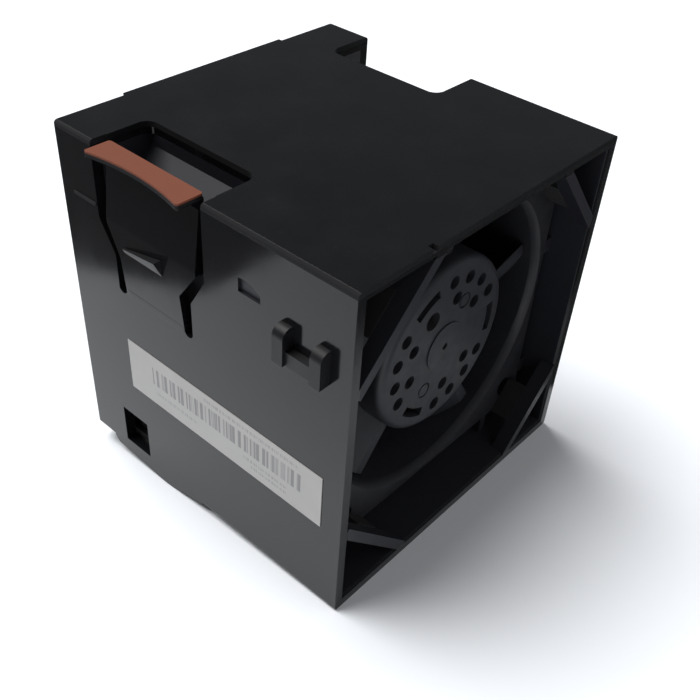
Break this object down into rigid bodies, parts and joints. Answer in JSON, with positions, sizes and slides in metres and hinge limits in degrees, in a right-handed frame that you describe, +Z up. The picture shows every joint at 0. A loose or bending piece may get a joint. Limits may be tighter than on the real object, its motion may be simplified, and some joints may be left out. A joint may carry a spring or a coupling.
{
  "type": "server fan module",
  "caption": "Near-cubic hot-swap server fan module: moulded housing with a flexing side latch and touch pad, around a counter-rotating axial fan set back from its open front.",
  "frame": {"origin": "middle of the housing's bottom face", "axes": "+Z up, +Y from the open front to the guarded rear along the rotor axis, +X to the right seen from the front"},
  "size_m": [0.0707, 0.0685, 0.0715],
  "materials": {
    "housing_black": "moulded, satin to gloss",
    "fan_black": "moulded, satin",
    "impeller_grey": "moulded, satin",
    "pad_terracotta": "matte",
    "label_grey": "printed film",
    "isolator_rubber": "matte",
    "connector_black": "moulded",
    "contact_gold": "plated",
    "lead_sleeve": "sleeved",
    "brass": "turned",
    "bearing_steel": "ground",
    "shaft_steel": "ground",
    "lamination_steel": "stacked",
    "yoke_steel": "drawn",
    "magnet_black": "bonded ferrite",
    "insulator_white": "moulded",
    "copper": "enamelled wire",
    "board_green": "solder mask"
  },
  "bodies": {
    "module": {"housing": "housing_black", "rear_guard": "housing_black", "isolator_pads": "isolator_rubber", "front_fan_frame": "fan_black", "rear_fan_frame": "fan_black", "docking_connector": "connector_black", "connector_contacts": "contact_gold", "front_fan_lead": "lead_sleeve", "rear_fan_lead": "lead_sleeve", "label": "label_grey", "front_bearing_tube": "brass", "front_outer_races": "bearing_steel", "front_stator_core": "lamination_steel", "front_slot_insulators": "insulator_white", "front_windings": "copper", "front_circuit_board": "board_green", "rear_bearing_tube": "brass", "rear_outer_races": "bearing_steel", "rear_stator_core": "lamination_steel", "rear_slot_insulators": "insulator_white", "rear_windings": "copper", "rear_circuit_board": "board_green"},
    "latch": {"latch_arm": "housing_black", "touch_pad": "pad_terracotta"},
    "front_rotor": {"front_impeller": "impeller_grey", "front_yoke_ring": "yoke_steel", "front_magnet_ring": "magnet_black", "front_shaft_bush": "brass", "front_shaft": "shaft_steel", "front_inner_races": "bearing_steel", "front_bearing_balls": "shaft_steel", "front_retaining_clip": "shaft_steel"},
    "rear_rotor": {"rear_impeller": "impeller_grey", "rear_yoke_ring": "yoke_steel", "rear_magnet_ring": "magnet_black", "rear_shaft_bush": "brass", "rear_shaft": "shaft_steel", "rear_inner_races": "bearing_steel", "rear_bearing_balls": "shaft_steel", "rear_retaining_clip": "shaft_steel"}
  },
  "joints": [
    {"name": "latch_flex", "type": "hinge", "parent": "module", "child": "latch", "pos_m": [-0.0331, 0.0107, 0.0425], "axis": [0, 1, 0], "range_deg": [0, 8], "stiffness_Nm_per_rad": 0.3},
    {"name": "front_rotor_spin", "type": "hinge", "parent": "module", "child": "front_rotor", "pos_m": [0, -0.02, 0.037], "axis": [0, 1, 0], "continuous": true},
    {"name": "rear_rotor_spin", "type": "hinge", "parent": "module", "child": "rear_rotor", "pos_m": [0, 0.02, 0.037], "axis": [0, 1, 0], "continuous": true}
  ]
}
